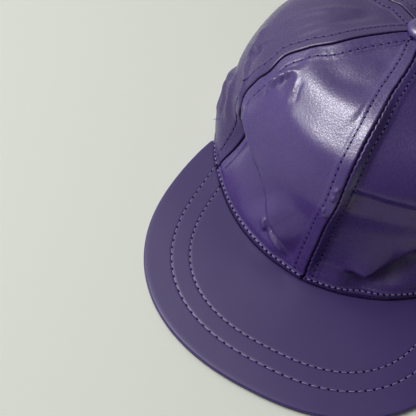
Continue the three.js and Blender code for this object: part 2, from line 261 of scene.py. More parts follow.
def plain_crown(around, v):
    rows = along_profile(v)
    share, height = rows[..., SHARE], rows[..., HEIGHT]
    off_temple = (np.abs(around) - math.radians(TEMPLE_AROUND)) / math.radians(TEMPLE_SPREAD)
    wide = TEMPLE_OUT * np.exp(-(off_temple**2)) * np.clip(1 - v / TEMPLE_GONE, 0, 1)
    wide = wide * (TEMPLE_AT_RIM + (1 - TEMPLE_AT_RIM) * smooth(v / TEMPLE_FULL))
    x = (RIM_HALF_WIDTH * share + wide) * np.sin(around)
    y = -(RIM_HALF_LENGTH * share + wide) * np.cos(around) + APEX_BEHIND_MIDDLE * (1 - share)
    return np.stack((x, y + MIDDLE_AHEAD, height), -1)


def unit(vectors):
    return vectors / np.maximum(np.linalg.norm(vectors, axis=-1, keepdims=True), 1e-9)


def plain_normal(around, v, small=2e-3):
    across = plain_crown(around + small, v) - plain_crown(around - small, v)
    upward = plain_crown(around, np.minimum(v + small, 1)) - plain_crown(around, np.maximum(v - small, 0))
    return unit(np.cross(across, upward))


def fold_out(fold, around, v):
    """How far one fold moves the wall out at each place, in mm."""
    path, lift, lift_wide, tuck, tuck_wide, step, ease_in, ease_out = fold
    centre = math.radians(sum(point[0] for point in path) / len(path))
    shares = along_profile(share_up(np.array([point[1] for point in path], float)))[:, SHARE]
    line = [
        ((math.radians(point[0]) - centre) * MEAN_RADIUS * share, point[1])
        for point, share in zip(path, shares)
    ]
    x, y = (around - centre) * MEAN_RADIUS * along_profile(v)[..., SHARE], mm_up(v)
    nearest, side, passed, total = np.full(x.shape, 1e9), np.ones(x.shape), np.zeros(x.shape), 0
    for (x0, y0), (x1, y1) in zip(line[:-1], line[1:]):
        length = math.hypot(x1 - x0, y1 - y0)
        ux, uy = (x1 - x0) / length, (y1 - y0) / length
        forward = np.clip((x - x0) * ux + (y - y0) * uy, 0, length)
        distance = np.hypot(x - x0 - forward * ux, y - y0 - forward * uy)
        left = np.where((y - y0) * ux - (x - x0) * uy < 0, -1, 1)
        closer = distance < nearest
        nearest, side = np.where(closer, distance, nearest), np.where(closer, left, side)
        passed = np.where(closer, total + forward, passed)
        total += length
    fade = smooth(passed / total / ease_in) * smooth((1 - passed / total) / ease_out)
    raised = lift * np.exp(-((nearest / lift_wide) ** 2))
    if not step:
        return fade * raised
    on_left = 0.5 + 0.5 * np.tanh(side * nearest / step)
    return fade * (on_left * raised - (1 - on_left) * tuck * np.exp(-((nearest / tuck_wide) ** 2)))


SLACK_SEED, SLACK_COUNT, SLACK_LENGTHS, SLACK_HEIGHTS = 7, 14, (22, 70), (0.05, 0.16)

random.seed(SLACK_SEED)
SLACK_WAVES = [
    (unit(np.array([random.gauss(0, 1) for _ in "xyz"])) * 2 * math.pi / random.uniform(*SLACK_LENGTHS),
     random.uniform(0, 2 * math.pi), random.uniform(*SLACK_HEIGHTS))
    for _ in range(SLACK_COUNT)
]


def slack(points):
    """Small uneven waves of soft leather, in mm."""
    return sum(size * np.sin(points @ wave + phase) for wave, phase, size in SLACK_WAVES)


# The sewn rim holds the leather: mm up the wall by which folds and waves have their full depth.
FOLDS_FROM, SLACK_FROM = 13, 14


def slack_crown(around, v, full):
    """The crown's surface with its folds, full mm out of the plain shape, and its outward directions."""
    base, normal = plain_crown(around, v), plain_normal(around, v)
    folds = sum(fold_out(fold, around, v) for fold in FOLDS + CREASES)
    out = full + folds * smooth(mm_up(v) / FOLDS_FROM) + slack(base) * smooth(mm_up(v) / SLACK_FROM)
    return base + normal * out[..., None], normal


# A seam's cross-section, in mm from the seam's line.
EDGE_ROLL = 0.55
STRIP_LIFT, STRIP_PAST, STRIP_END = 0.35, 0.8, 2.2
CHANNEL_DEEP, CHANNEL_WIDE = 0.22, 0.6
PUCKER, PUCKER_WIDE = 0.03, 2.0
SEAM_GAP = 0.38

# How squarely a panel stands out between its seams, and the least width that it narrows to, in mm.
FULLNESS_POWER, LEAST_WIDTH = 0.8, 0.5

# The rolled seam along the rim, in mm up the wall.
RIM_ROLL_UP, RIM_ROLL_OUT, RIM_ROLL_WIDE = 4.9, 0.5, 1.6
RIM_DIP_UP, RIM_DIP_IN, RIM_DIP_WIDE = 8.0, 0.8, 1.7
RIM_THREAD_UP, RIM_THREAD_PITCH = 6.6, 3.2


def panel_width(panel, v):
    seam = panel[1]
    left, right = seam_around(seam, v), seam_around(seam + 1, v)
    share = along_profile(v)[..., SHARE]
    middle = (left + right) / 2
    radius = np.hypot(RIM_HALF_WIDTH * np.cos(middle), RIM_HALF_LENGTH * np.sin(middle)) * share
    return np.maximum((right - left) * radius, LEAST_WIDTH)


def panel_point(panel, off_left, v):
    """Points of a panel, off_left mm from its left seam and the share v of the way up, in mm."""
    _, seam, fullness, left_thread, right_thread, left_pitch, right_pitch, notch = panel
    width = panel_width(panel, v)
    q = np.clip(off_left / width, 0, 1)
    up = mm_up(v)
    gap = SEAM_GAP / width
    notched_gap = gap + notch / width * np.cos(2 * math.pi * up / left_pitch)
    left, right = seam_around(seam, v), seam_around(seam + 1, v)
    around = left + (right - left) * (notched_gap + (1 - gap - notched_gap) * q)
    full = along_profile(v)[..., fullness] * np.sin(math.pi * q) ** FULLNESS_POWER
    places, normal = slack_crown(around, v, full)
    off = np.maximum(np.minimum(off_left, width - off_left), 0)
    on_left = off_left < width / 2
    thread_off = np.where(on_left, left_thread, right_thread)
    pitch = np.where(on_left, left_pitch, right_pitch)
    out = STRIP_LIFT * smooth((thread_off + STRIP_PAST + STRIP_END - off) / STRIP_END)
    out = out + PUCKER * np.cos(2 * math.pi * up / pitch) * np.exp(-(((off - thread_off) / PUCKER_WIDE) ** 2))
    out = out - CHANNEL_DEEP * np.exp(-(((off - thread_off) / CHANNEL_WIDE) ** 2))
    rolled = np.clip(EDGE_ROLL - off, 0, EDGE_ROLL)
    out = out - (EDGE_ROLL - np.sqrt(EDGE_ROLL**2 - rolled**2))
    out = out + RIM_ROLL_OUT * np.exp(-(((up - RIM_ROLL_UP) / RIM_ROLL_WIDE) ** 2))
    out = out - RIM_DIP_IN * np.exp(-(((up - RIM_DIP_UP) / RIM_DIP_WIDE) ** 2))
    return places + normal * out[..., None]


# Grid lines of a panel: close together beside the seams and along the rim, wider elsewhere.
SEAM_COLUMNS, SEAM_BAND, SEAM_BAND_MOST, MIDDLE_COLUMNS = 14, 9.5, 0.4, 90
RIM_ROWS, RIM_BAND, WALL_ROWS = 22, 12.0, 150


def column_place(column, width):
    """Where a grid column lies, in mm from the left seam."""
    band = np.minimum(SEAM_BAND, SEAM_BAND_MOST * width)
    last = SEAM_COLUMNS + MIDDLE_COLUMNS
    left = band * column / SEAM_COLUMNS
    middle = band + (width - 2 * band) * (column - SEAM_COLUMNS) / MIDDLE_COLUMNS
    right = width - band + band * (column - last) / SEAM_COLUMNS
    return np.where(column < SEAM_COLUMNS, left, np.where(column <= last, middle, right))


def row_place(row):
    """The share of the way up at a grid row."""
    top = mm_up(TOP_SHARE)
    above = RIM_BAND + (top - RIM_BAND) * (row - RIM_ROWS) / WALL_ROWS
    return share_up(np.where(row < RIM_ROWS, RIM_BAND * row / RIM_ROWS, above))


def finish_piece(piece, replaced, slot_name, *materials):
    """Gives a finished piece its materials, smooth shading, body and the node that it replaces. slot_name is
    not used.
    """
    for material in materials:
        piece.data.materials.append(material)
    bpy.ops.object.select_all(action="DESELECT")
    piece.select_set(True)
    bpy.context.view_layer.objects.active = piece
    bpy.ops.object.shade_smooth()
    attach(piece, "root")
    if replaced:
        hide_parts(replaced)


def mesh_places(piece):
    places = np.zeros(len(piece.data.vertices) * 3)
    piece.data.vertices.foreach_get("co", places)
    return places.reshape(-1, 3)


def move_mesh(piece, places):
    piece.data.vertices.foreach_set("co", places.ravel())
    piece.data.update()


def rest_on_floor(piece):
    """Lifts what the wall's thickness has pushed below the floor."""
    places = mesh_places(piece)
    places[:, 2] = np.maximum(places[:, 2], 0)
    move_mesh(piece, places)


def srgb(hex_colour):
    """A hex colour as linear red, green, blue and alpha."""
    parts = [int(hex_colour[i:i + 2], 16) / 255 for i in (1, 3, 5)]
    return [p / 12.92 if p <= 0.04045 else ((p + 0.055) / 1.055) ** 2.4 for p in parts] + [1.0]


def new_material(name):
    material = bpy.data.materials.new(name)
    material.use_nodes = True
    return material, material.node_tree, material.node_tree.nodes["Principled BSDF"]


def node(tree, kind, settings=(), links=()):
    """Adds a node, with its settings by attribute or input name and its links from other sockets."""
    added = tree.nodes.new(kind)
    for name, value in dict(settings).items():
        if hasattr(added, name):
            setattr(added, name, value)
        else:
            added.inputs[name].default_value = value
    for name, source in dict(links).items():
        tree.links.new(source, added.inputs[name])
    return added


# The real grain is 0.3 to 0.5 mm across, too fine to show from here, so its pebbles and pores are drawn
# about twice as coarse. The clouds are the uneven depth of the dye.
PEBBLE_WIDE, PEBBLE_DEEP, PEBBLE_STRENGTH = 1.0, 0.12, 0.24
PORE_WIDE, PORE_DEEP, PORE_STRENGTH = 0.75, 0.08, 0.3
CLOUD_WIDE = 14
LACQUER_SMOOTH, LACQUER_WORN = 0.16, 0.36


def faux_leather(name, colour, deep, roughness, specular, lacquer, grain):
    """Polyurethane film embossed with a pebble grain, under a clear lacquer worn unevenly thin.

    It gives the eye a deep even colour, and a wide highlight that breaks up in the grain.
    """
    material, tree, shader = new_material(name)
    place = node(tree, "ShaderNodeTexCoord").outputs["Object"]
    pebble = node(tree, "ShaderNodeTexVoronoi", {"feature": "SMOOTH_F1", "Scale": 1 / (PEBBLE_WIDE * MM),
                                                "Smoothness": 0.6, "Randomness": 0.9}, {"Vector": place})
    pores = node(tree, "ShaderNodeTexNoise", {"Scale": 1 / (PORE_WIDE * MM), "Detail": 3}, {"Vector": place})
    cloud = node(tree, "ShaderNodeTexNoise", {"Scale": 1 / (CLOUD_WIDE * MM), "Detail": 4},
                 {"Vector": place})
    shade = node(tree, "ShaderNodeMixRGB", {"Color1": srgb(deep), "Color2": srgb(colour)},
                 {"Fac": cloud.outputs["Fac"]})
    tree.links.new(shade.outputs["Color"], shader.inputs["Base Color"])
    gloss = node(tree, "ShaderNodeMapRange", {"From Min": 0.42, "From Max": 0.58, "To Min": LACQUER_SMOOTH,
                                              "To Max": LACQUER_WORN}, {"Value": pores.outputs["Fac"]})
    tree.links.new(gloss.outputs["Result"], shader.inputs["Coat Roughness"])
    shader.inputs["Roughness"].default_value = roughness
    low = node(tree, "ShaderNodeBump", {"Strength": PEBBLE_STRENGTH * grain, "Distance": PEBBLE_DEEP * MM},
               {"Height": pebble.outputs["Distance"]})
    high = node(tree, "ShaderNodeBump", {"Strength": PORE_STRENGTH * grain, "Distance": PORE_DEEP * MM},
                {"Height": pores.outputs["Fac"], "Normal": low.outputs["Normal"]})
    for normal_input in ("Normal", "Coat Normal"):
        tree.links.new(high.outputs["Normal"], shader.inputs[normal_input])
    shader.inputs["IOR"].default_value = 1.5
    shader.inputs["Coat Weight"].default_value = lacquer
    shader.inputs["Specular IOR Level"].default_value = specular
    return material


# The front panels' lacquer is nearly whole and gleams. The others' is rubbed duller, with less of the grain,
# and their colour is a little darker: painted shade for the weaker light that reaches the sides and back.
crown_leather = faux_leather("crown_faux_leather", "#402a6d", "#382361", 0.5, 0.2, 0.85, 2.0)
duller_shaded_leather = faux_leather("crown_faux_leather_duller_shaded", "#37245f", "#301d55", 0.5, 0.25, 0.6, 0.5)

# The film's knitted polyester back has no lacquer: rough, greyer and without a gleam.
backing = faux_leather("knitted_backing", "#3a3450", "#2c2740", 0.9, 0.5, 0.0, 2.0)


def add_panel(panel):
    name = panel[0]
    columns, rows = 2 * SEAM_COLUMNS + MIDDLE_COLUMNS, RIM_ROWS + WALL_ROWS
    bpy.ops.object.select_all(action="DESELECT")
    bpy.ops.mesh.primitive_grid_add(x_subdivisions=columns, y_subdivisions=rows, size=1)
    piece = bpy.context.object
    piece.name = "leather_" + name
    grid = mesh_places(piece)
    column, row = np.round((grid[:, 0] + 0.5) * columns), np.round((grid[:, 1] + 0.5) * rows)
    v = row_place(row)
    places = panel_point(panel, column_place(column, panel_width(panel, v)), v)
    places[row == 0, 2] = 0
    move_mesh(piece, places * MM)
    piece.modifiers.new("wall", "SOLIDIFY").thickness = WALL * MM
    piece.modifiers["wall"].offset = -1
    piece.modifiers["wall"].material_offset = 1
    bpy.ops.object.modifier_apply(modifier="wall")
    rest_on_floor(piece)
    # Side and back panels take the darker leather, whose colour holds painted shade.
    leather = crown_leather if panel[2] == FRONT else duller_shaded_leather
    finish_piece(piece, name, "crown_leather", leather, backing)


ALLOWANCE_WIDE, ALLOWANCE_COLUMNS, ALLOWANCE_ROWS = 7.0, 6, 160
ALLOWANCE_DOWN, ALLOWANCE_THICK = 2.2, 0.7
ALLOWANCE_LEAST_SHARE = 0.04


def add_allowance(seam):
    """The two seam allowances, pressed open and stitched down under the seam's groove."""
    columns, rows = ALLOWANCE_COLUMNS, ALLOWANCE_ROWS
    bpy.ops.object.select_all(action="DESELECT")
    bpy.ops.mesh.primitive_grid_add(x_subdivisions=columns, y_subdivisions=rows, size=1)
    piece = bpy.context.object
    piece.name = f"seam_allowance_{seam}"
    grid = mesh_places(piece)
    v = share_up((grid[:, 1] + 0.5) * mm_up(TOP_SHARE))
    radius = MEAN_RADIUS * np.maximum(along_profile(v)[:, SHARE], ALLOWANCE_LEAST_SHARE)
    around = seam_around(seam, v) + grid[:, 0] * ALLOWANCE_WIDE / radius
    places, normal = slack_crown(around, v, np.zeros(len(v)))
    places = places - normal * ALLOWANCE_DOWN
    places[v == 0, 2] = 0
    move_mesh(piece, places * MM)
    piece.modifiers.new("cloth", "SOLIDIFY").thickness = ALLOWANCE_THICK * MM
    piece.modifiers["cloth"].offset = -1
    bpy.ops.object.modifier_apply(modifier="cloth")
    rest_on_floor(piece)
    finish_piece(piece, None, "crown_leather", backing)


for panel in PANELS:
    add_panel(panel)
for seam in range(len(PANELS)):
    add_allowance(seam)

# The thread of the crown's seams.
# Polyester thread, a dark violet row each side of every seam and a lavender row around the rolled rim. Each
# stitch dips into a needle hole at both ends. One stitch and one hole are modelled, and copied along a row.

THREAD_THICK, STITCH_SAG = 0.5, 0.26
STITCH_OUT, STITCH_SHORT = 0.3, 0.45
HOLE_LONG, HOLE_WIDE, HOLE_DEEP, HOLE_SUNK = 1.5, 1.35, 0.4, 0.02
SAMPLES = 600

# A row starts this many mm up the wall. It stops where its panel is hardly wider than the thread's way from
# the seam, and the rim's row stops this far from each seam.
THREAD_STARTS, THREAD_STOPS, RIM_THREAD_INSET = 9.0, 1.0, 1.0

# Real strands are about 0.05 mm thick, too fine to show, and are drawn more than three times as thick.
STRAND_WIDE, STRAND_DEEP, STRAND_STRENGTH = 0.18, 0.05, 0.5


def thread_material(name, colour):
    """Spun polyester thread: twisted strands that give it a soft, uneven tone with hardly any gloss."""
    material, tree, shader = new_material(name)
    place = node(tree, "ShaderNodeTexCoord").outputs["Object"]
    strands = node(tree, "ShaderNodeTexNoise", {"Scale": 1 / (STRAND_WIDE * MM), "Detail": 2},
                   {"Vector": place})
    bump = node(tree, "ShaderNodeBump", {"Strength": STRAND_STRENGTH, "Distance": STRAND_DEEP * MM},
                {"Height": strands.outputs["Fac"]})
    tree.links.new(bump.outputs["Normal"], shader.inputs["Normal"])
    shader.inputs["Base Color"].default_value = srgb(colour)
    shader.inputs["Roughness"].default_value = 0.6
    return material


violet_thread = thread_material("violet_polyester_thread", "#3b2c84")
lavender_thread = thread_material("lavender_polyester_thread", "#8478b0")

# The needle holes, cut through the film: no light comes back out of them, so each is a black dot.
needle_hole, _, hole_shader = new_material("needle_hole")
hole_shader.inputs["Base Color"].default_value = srgb("#0c0914")
hole_shader.inputs["Roughness"].default_value = 1.0
hole_shader.inputs["Specular IOR Level"].default_value = 0.0


def ellipsoid(name, length, width, depth, sag=0.0):
    """A long round piece along X, its ends bent down by sag."""
    bpy.ops.object.select_all(action="DESELECT")
    bpy.ops.mesh.primitive_uv_sphere_add(segments=8, ring_count=6, radius=0.5)
    piece = bpy.context.object
    piece.name = name
    ball = mesh_places(piece)
    places = np.stack((ball[:, 2] * length, ball[:, 0] * width, ball[:, 1] * depth), -1)
    places[:, 2] -= sag * (2 * places[:, 0] / length) ** 2
    move_mesh(piece, places * MM)
    bpy.ops.object.mode_set(mode="EDIT")
    bpy.ops.mesh.select_all(action="SELECT")
    bpy.ops.mesh.normals_make_consistent(inside=False)
    bpy.ops.object.mode_set(mode="OBJECT")
    return piece


def copy_along(template, name, centres, alongs, normals):
    """Copies of the template, each with its own mesh, joined into one piece. Places are in mm."""
    bpy.ops.object.select_all(action="DESELECT")
    for centre, along, normal in zip(centres, alongs, normals):
        copy = template.copy()
        copy.data = template.data.copy()
        bpy.context.collection.objects.link(copy)
        axes = Matrix((along, np.cross(normal, along), normal)).transposed().to_4x4()
        axes.translation = Vector(centre) * MM
        copy.data.transform(axes)
        copy.select_set(True)
        bpy.context.view_layer.objects.active = copy
    bpy.ops.object.join()
    bpy.context.object.name = name
    return bpy.context.object


def even_places(path, normals, pitch):
    """Places every pitch along a path, and the leather's normals there."""
    steps = np.linalg.norm(np.diff(path, axis=0), axis=1)
    passed = np.concatenate(([0], np.cumsum(steps)))
    count = max(1, round(passed[-1] / pitch))
    marks = np.linspace(0, passed[-1], count + 1)
    points = np.stack([np.interp(marks, passed, path[:, axis]) for axis in range(3)], -1)
    there = unit(np.stack([np.interp(marks, passed, normals[:, axis]) for axis in range(3)], -1))
    return points, there


def sew(name, path, normals, pitch, thread):
    """Thread and needle holes along a path that lies on the leather."""
    points, there = even_places(path, normals, pitch)
    steps = points[1:] - points[:-1]
    alongs, between = unit(steps), unit(there[1:] + there[:-1])
    between = unit(between - alongs * np.sum(alongs * between, -1, keepdims=True))
    centres = (points[1:] + points[:-1]) / 2 + between * THREAD_THICK * STITCH_OUT
    stitch_long = np.linalg.norm(steps, axis=1).mean() - STITCH_SHORT * HOLE_LONG
    stitch = ellipsoid("stitch", stitch_long, THREAD_THICK, THREAD_THICK, STITCH_SAG)
    row = copy_along(stitch, "thread_" + name, centres, alongs, between)
    hole_alongs = unit(np.concatenate((alongs[:1], alongs[1:] + alongs[:-1], alongs[-1:])))
    hole_normals = unit(there - hole_alongs * np.sum(hole_alongs * there, -1, keepdims=True))
    hole = ellipsoid("hole", HOLE_LONG, HOLE_WIDE, HOLE_DEEP)
    holes = copy_along(hole, "holes_" + name, points - hole_normals * HOLE_SUNK, hole_alongs, hole_normals)
    for template in (stitch, hole):
        bpy.data.objects.remove(template)
    finish_piece(row, None, "thread_light" if thread is lavender_thread else "thread_dark", thread)
    finish_piece(holes, None, "thread_dark", needle_hole)


def on_panel(panel, off_left, up):
    """A path on a panel and its outward normals, from arrays of mm off the left seam and mm up."""
    small = 0.05
    v = share_up(up)
    path = panel_point(panel, off_left, v)
    across = panel_point(panel, off_left + small, v) - panel_point(panel, off_left - small, v)
    above = panel_point(panel, off_left, share_up(up + small))
    below = panel_point(panel, off_left, share_up(up - small))
    return path, unit(np.cross(across, above - below))


for panel in PANELS:
    name, _, _, left_thread, right_thread, left_pitch, right_pitch, _ = panel
    ups = np.linspace(THREAD_STARTS, mm_up(TOP_SHARE), SAMPLES)
    ups = ups[panel_width(panel, share_up(ups)) > max(left_thread, right_thread) + THREAD_STOPS]
    left = on_panel(panel, np.full(len(ups), left_thread), ups)
    right = on_panel(panel, panel_width(panel, share_up(ups)) - right_thread, ups)
    sew(name + "_left", *left, left_pitch, violet_thread)
    sew(name + "_right", *right, right_pitch, violet_thread)
    rim_width = panel_width(panel, share_up(np.array(RIM_THREAD_UP)))
    offs = np.linspace(RIM_THREAD_INSET, rim_width - RIM_THREAD_INSET, SAMPLES)
    along_rim = on_panel(panel, offs, np.full(SAMPLES, RIM_THREAD_UP))
    sew(name + "_rim", *along_rim, RIM_THREAD_PITCH, lavender_thread)

# One end of thread stands out of the right side panel, low beside the front: mm from that panel's front
# seam and mm up.
LOOSE_OFF, LOOSE_UP = 19.3, 22.5
LOOSE_LONG, LOOSE_THICK, LOOSE_SAG, LOOSE_OUT = 3.8, 0.4, 1.1, 0.9

side_panel = PANELS[1]
loose_off = panel_width(side_panel, share_up(np.array([LOOSE_UP]))) - LOOSE_OFF
loose_foot, loose_along = on_panel(side_panel, loose_off, np.array([LOOSE_UP]))
loose_level = unit(np.array([(0.0, 0.0, 1.0)]) - loose_along * loose_along[:, 2:])
loose = ellipsoid("loose", LOOSE_LONG, LOOSE_THICK, LOOSE_THICK, LOOSE_SAG)
loose_middle = loose_foot + loose_along * LOOSE_OUT
loose_end = copy_along(loose, "thread_loose_end", loose_middle, loose_along, loose_level)
bpy.data.objects.remove(loose)
finish_piece(loose_end, None, "thread_dark", violet_thread)

# The peak.
# Two stiff faux leather covers, turned over at the edge and sewn together by two rows of lavender thread
# that follow it. It lies flat on the floor. Each cover is one grid wrapped round its cross-section.

PEAK_HALF_WIDTH, PEAK_REACH, PEAK_SQUARENESS = 90.5, 92.1, 2.3
PEAK_AHEAD = 79.4
PEAK_MIDDLE = MIDDLE_AHEAD - PEAK_AHEAD
PEAK_SIDE_TAPER = 0.0022
PEAK_TIP_AROUND, PEAK_TIP_ROUND = 68.5, 3.0
PEAK_OFF_CROWN = 0.8
PEAK_RIM_SHARE = 1 / PROFILE_STEPS
PEAK_TOP, PEAK_SPLIT, PEAK_SLIT = 3.0, 1.5, 0.08
PEAK_EDGE_ROUND, PEAK_EDGE_FULL, PEAK_CRISP = 0.8, 0.8, 0.15

# Each row of thread: half its width, its reach, its squareness and the pitch of its stitches.
PEAK_THREADS = ((75.5, 77.4, 2.43, 4.6), (66.4, 67.2, 2.47, 4.0))
PEAK_CHANNEL_DEEP, PEAK_UNDER_CHANNEL_DEEP, PEAK_CHANNEL_WIDE = 0.16, 0.5, 0.6
PEAK_THREAD_CLEAR, PEAK_UNDER_THREAD_UP = 0.5, 0.45

# How uneven it lies, and its waves across, forward and aslant: mm to the radian, and where the first two
# start or how far the last one slants.
PEAK_UNEVEN, PEAK_SLANTED_SHARE = 0.12, 0.5
PEAK_WAVES = ((21, 0.6), (26, 1.9), (15, 1.4))

# Grid lines along the edge, and across the cover: at its inner edge, from there to each row of thread, by
# the row, beyond the last one, round the turned edge, and over the side that meets the other cover.
PEAK_COLUMNS, PEAK_MARKS, PEAK_THREAD_MARKS = 420, 4000, 2000
INNER_LINES, FACE_LINES, THREAD_LINES, OUTER_LINES, TURNED_LINES, MEETING_LINES = 2, 7, 12, 6, 8, 5
THREAD_BAND, MEETING_IN = 1.6, 0.5

# How far apart the lines stay where they crowd together at the peak's ends, in mm, and how close together
# points are merged, in m.
PEAK_STATIONS, PEAK_WELD = 0.002, 1e-7


def squared_round(turn, half_width, reach, squareness, taper=0.0):
    """Distance from the peak's middle to a squared half-round with straight sides behind it."""
    sine, cosine = np.sin(turn), np.abs(np.cos(turn))
    ahead = np.maximum(-sine, 0)
    sideways = np.maximum(cosine / half_width, 1e-9) ** squareness
    front = (sideways + (ahead / reach) ** squareness) ** (-1 / squareness)
    behind = np.maximum(sine, 0) * half_width / np.maximum(cosine, 1e-3)
    side = (half_width - taper * behind**2) / np.maximum(cosine, 1e-3)
    return np.where(sine < 0, front, side)


rim_around = np.radians(np.linspace(-PEAK_TIP_AROUND, PEAK_TIP_AROUND, SAMPLES))
rim_line = plain_crown(rim_around, np.full(SAMPLES, PEAK_RIM_SHARE))
rim_line = rim_line + plain_normal(rim_around, np.full(SAMPLES, PEAK_RIM_SHARE)) * PEAK_OFF_CROWN
rim_turns = np.unwrap(np.arctan2(rim_line[:, 1] - PEAK_MIDDLE, rim_line[:, 0]))
rim_reach = np.hypot(rim_line[:, 0], rim_line[:, 1] - PEAK_MIDDLE)


def crown_reach(turn):
    """Distance from the peak's middle to its inner edge, which follows the crown."""
    return np.interp(turn, rim_turns, rim_reach)


def peak_uneven(x, y):
    """The peak isn't quite flat."""
    (across, across_start), (forward, forward_start), (aslant, slant) = PEAK_WAVES
    square = np.sin(x / across + across_start) * np.cos(y / forward + forward_start)
    return PEAK_UNEVEN * (square + PEAK_SLANTED_SHARE * np.sin((x + slant * y) / aslant))


def peak_columns():
    """For each column: its turn about the peak's middle, and how far its outline and inner edge are."""
    turns = np.linspace(rim_turns[0], rim_turns[-1], PEAK_MARKS)
    outline = squared_round(turns, PEAK_HALF_WIDTH, PEAK_REACH, PEAK_SQUARENESS, PEAK_SIDE_TAPER)
    points = np.stack((outline * np.cos(turns), outline * np.sin(turns)), -1)
    passed = np.concatenate(([0], np.cumsum(np.linalg.norm(np.diff(points, axis=0), axis=1))))
    marks = np.linspace(0, passed[-1], PEAK_COLUMNS + 1)
    turn = np.interp(marks, passed, turns)
    outer, inner = np.interp(turn, turns, outline), crown_reach(turn)
    from_tip = np.clip(np.minimum(marks, passed[-1] - marks) / PEAK_TIP_ROUND, 0, 1)
    return turn, inner + (outer - inner) * np.sqrt(1 - (1 - from_tip) ** 2), inner


def add_cover(name, replaced, face, split, channel_deep, slot_name, *materials):
    """One cover: its face, the turned edge, and the flat side that meets the other cover."""
    turn, outer, inner = peak_columns()
    radii, heights = [], []

    def run(start, end, count, start_height, end_height):
        for f in np.linspace(0, 1, count, endpoint=False):
            radii.append(start + (end - start) * f)
            heights.append(np.full(len(turn), start_height + (end_height - start_height) * f))

    run(inner, inner + PEAK_CRISP, INNER_LINES, face, face)
    before = inner + PEAK_CRISP
    for half_width, reach, squareness, _ in reversed(PEAK_THREADS):
        row = np.maximum(squared_round(turn, half_width, reach, squareness), inner + PEAK_CRISP)
        run(before, row - THREAD_BAND, FACE_LINES, face, face)
        run(row - THREAD_BAND, row + THREAD_BAND, THREAD_LINES, face, face)
        before = row + THREAD_BAND
    run(before, outer - PEAK_EDGE_ROUND, OUTER_LINES, face, face)
    for a in np.linspace(0, math.pi / 2, TURNED_LINES):
        radii.append(outer - PEAK_EDGE_ROUND * (1 - math.sin(a)))
        heights.append(np.full(len(turn), split + (face - split) * math.cos(a) ** PEAK_EDGE_FULL))
    run(outer - MEETING_IN, inner, MEETING_LINES, split, split)
    radii.append(inner)
    heights.append(np.full(len(turn), split))
    radii.append(inner)
    heights.append(np.full(len(turn), face))

    rows, columns = len(radii) - 1, PEAK_COLUMNS
    bpy.ops.object.select_all(action="DESELECT")
    bpy.ops.mesh.primitive_grid_add(x_subdivisions=columns, y_subdivisions=rows, size=1)
    piece = bpy.context.object
    piece.name = name
    grid = mesh_places(piece)
    column = np.round((grid[:, 0] + 0.5) * columns).astype(int)
    row = np.round((grid[:, 1] + 0.5) * rows).astype(int)
    from_end = np.minimum(np.arange(rows + 1), np.arange(rows + 1)[::-1])
    least = inner[None, :] + PEAK_STATIONS * from_end[:, None]
    radii = np.minimum(np.maximum(np.array(radii), least), np.maximum(outer[None, :], least))
    reach, z, around = radii[row, column], np.array(heights)[row, column], turn[column]
    x, y = reach * np.cos(around), reach * np.sin(around) + PEAK_MIDDLE
    on_face = np.abs(z - split) / abs(face - split)
    z = z + (peak_uneven(x, y) if face > split else 0) * on_face
    for half_width, thread_reach, squareness, _ in PEAK_THREADS:
        off = reach - squared_round(around, half_width, thread_reach, squareness)
        z = z + np.sign(split - face) * channel_deep * on_face * np.exp(-((off / PEAK_CHANNEL_WIDE) ** 2))
    move_mesh(piece, np.stack((x, y, z), -1) * MM)
    bpy.ops.object.mode_set(mode="EDIT")
    bpy.ops.mesh.select_all(action="SELECT")
    bpy.ops.mesh.remove_doubles(threshold=PEAK_WELD)
    bpy.ops.mesh.normals_make_consistent(inside=False)
    bpy.ops.object.mode_set(mode="OBJECT")
    finish_piece(piece, replaced, slot_name, *materials)


# The peak's leather has no lacquer: an even satin violet, with a broad soft sheen instead of a highlight.
peak_leather = faux_leather("peak_faux_leather", "#3a2664", "#34215c", 0.42, 0.48, 0.0, 0.5)
add_cover("leather_peak_top", "peak_top", PEAK_TOP, PEAK_SPLIT + PEAK_SLIT, PEAK_CHANNEL_DEEP,
          "peak_leather", peak_leather)
add_cover("leather_peak_under", "peak_under", 0.0, PEAK_SPLIT - PEAK_SLIT, PEAK_UNDER_CHANNEL_DEEP,
          "peak_under_leather", peak_leather)

for number, (half_width, reach, squareness, pitch) in enumerate(PEAK_THREADS):
    turns = np.linspace(rim_turns[0], rim_turns[-1], PEAK_THREAD_MARKS)
    row = squared_round(turns, half_width, reach, squareness)
    clear = row > crown_reach(turns) + PEAK_THREAD_CLEAR
    x, y = row[clear] * np.cos(turns[clear]), row[clear] * np.sin(turns[clear]) + PEAK_MIDDLE
    path = np.stack((x, y, PEAK_TOP - PEAK_CHANNEL_DEEP + peak_uneven(x, y)), -1)
    sew(f"peak_row_{number}", path, np.tile((0.0, 0.0, 1.0), (len(path), 1)), pitch, lavender_thread)
    path[:, 2] = PEAK_UNDER_THREAD_UP
    sew(f"peak_under_row_{number}", path, np.tile((0.0, 0.0, -1.0), (len(path), 1)), pitch, lavender_thread)

# The button.
# A domed metal button covered in the same faux leather, gathered under its edge, its shank clinched
# through the hole where the six panels meet.

BUTTON_RADIUS, BUTTON_FOOT, BUTTON_TOP = 8.8, 97.4, 102.1
BUTTON_OFF, BUTTON_AHEAD = -0.3, 2.2
BUTTON_SHANK, BUTTON_SHANK_END = 2.6, 93.8
BUTTON_GATHERS, BUTTON_GATHER_DEEP = 19, 0.13
BUTTON_EDGE, BUTTON_FULL = 1.1, 0.9

# It starts as a ball. Shares of the ball's height: where the gathers end, the under side lies flat, the
# neck begins and the shank begins. Then the shares by which the neck draws in and of the ball that becomes
# the shank, and the shank's length in mm.
GATHERS_END, UNDER_FLAT, NECK_FROM, SHANK_FROM = 0.45, 0.35, 0.25, 0.75
NECK_IN, SHANK_ACROSS, SHANK_LONG = 0.5, 0.66, 1.5

# Stretched over the button, the same leather has lost most of its grain, so its highlight is bright.
button_leather = faux_leather("button_faux_leather", "#402a6d", "#382361", 0.5, 0.2, 1.0, 0.7)


